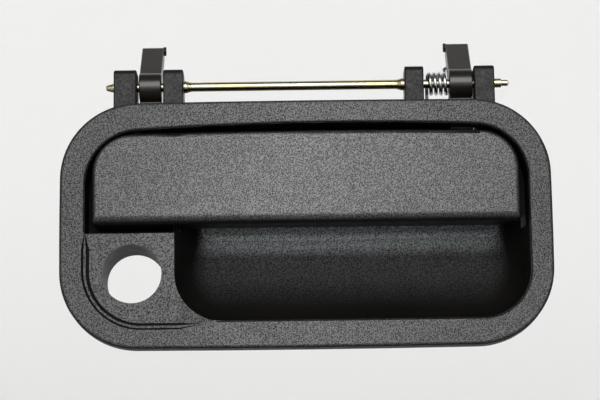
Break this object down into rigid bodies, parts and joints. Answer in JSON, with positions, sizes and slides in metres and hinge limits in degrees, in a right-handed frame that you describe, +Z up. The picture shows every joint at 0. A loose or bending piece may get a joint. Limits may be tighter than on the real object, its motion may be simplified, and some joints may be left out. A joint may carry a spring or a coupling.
{
  "type": "car door handle",
  "caption": "Flap-type outer car door handle: recessed housing with a finger cup and lock bore, and a spring-loaded pull flap on a steel hinge pin.",
  "frame": {"origin": "middle of the rim, on the plane where the rim gasket lies on the door's outer skin", "axes": "+X to the right seen from outside the car, +Y through the skin into the door, +Z up along the closed door"},
  "size_m": [0.156, 0.038, 0.1054],
  "materials": {
    "grained_black_plastic": "fine grained moulded black plastic",
    "grained_black_cover": "fine grained moulded black plastic",
    "smooth_black_plastic": "smooth semi-gloss black plastic",
    "yellow_zinc_steel": "yellow passivated zinc plated steel",
    "bright_zinc_wire": "bright zinc plated spring wire",
    "black_screw_steel": "black oxide screw steel",
    "seal_rubber": "matt black seal rubber",
    "plated_stud_steel": "bright zinc plated steel",
    "buffer_rubber": "matt black rubber"
  },
  "bodies": {
    "housing_body": {"housing": "grained_black_plastic", "rim_gasket": "seal_rubber", "hinge_pin": "yellow_zinc_steel", "return_spring": "bright_zinc_wire", "stud_left": "plated_stud_steel", "stud_right": "plated_stud_steel", "buffer_left": "buffer_rubber", "buffer_right": "buffer_rubber"},
    "flap_body": {"flap_cover": "grained_black_cover", "flap_carrier": "smooth_black_plastic", "cover_screws": "black_screw_steel"}
  },
  "joints": [
    {"name": "flap_pull", "type": "hinge", "parent": "housing_body", "child": "flap_body", "pos_m": [0, 0.011, 0.0488], "axis": [-1, 0, 0], "range_deg": [0, 32], "stiffness_Nm_per_rad": 0.25, "springref_deg": -34.38, "deforming": ["return_spring"]}
  ]
}
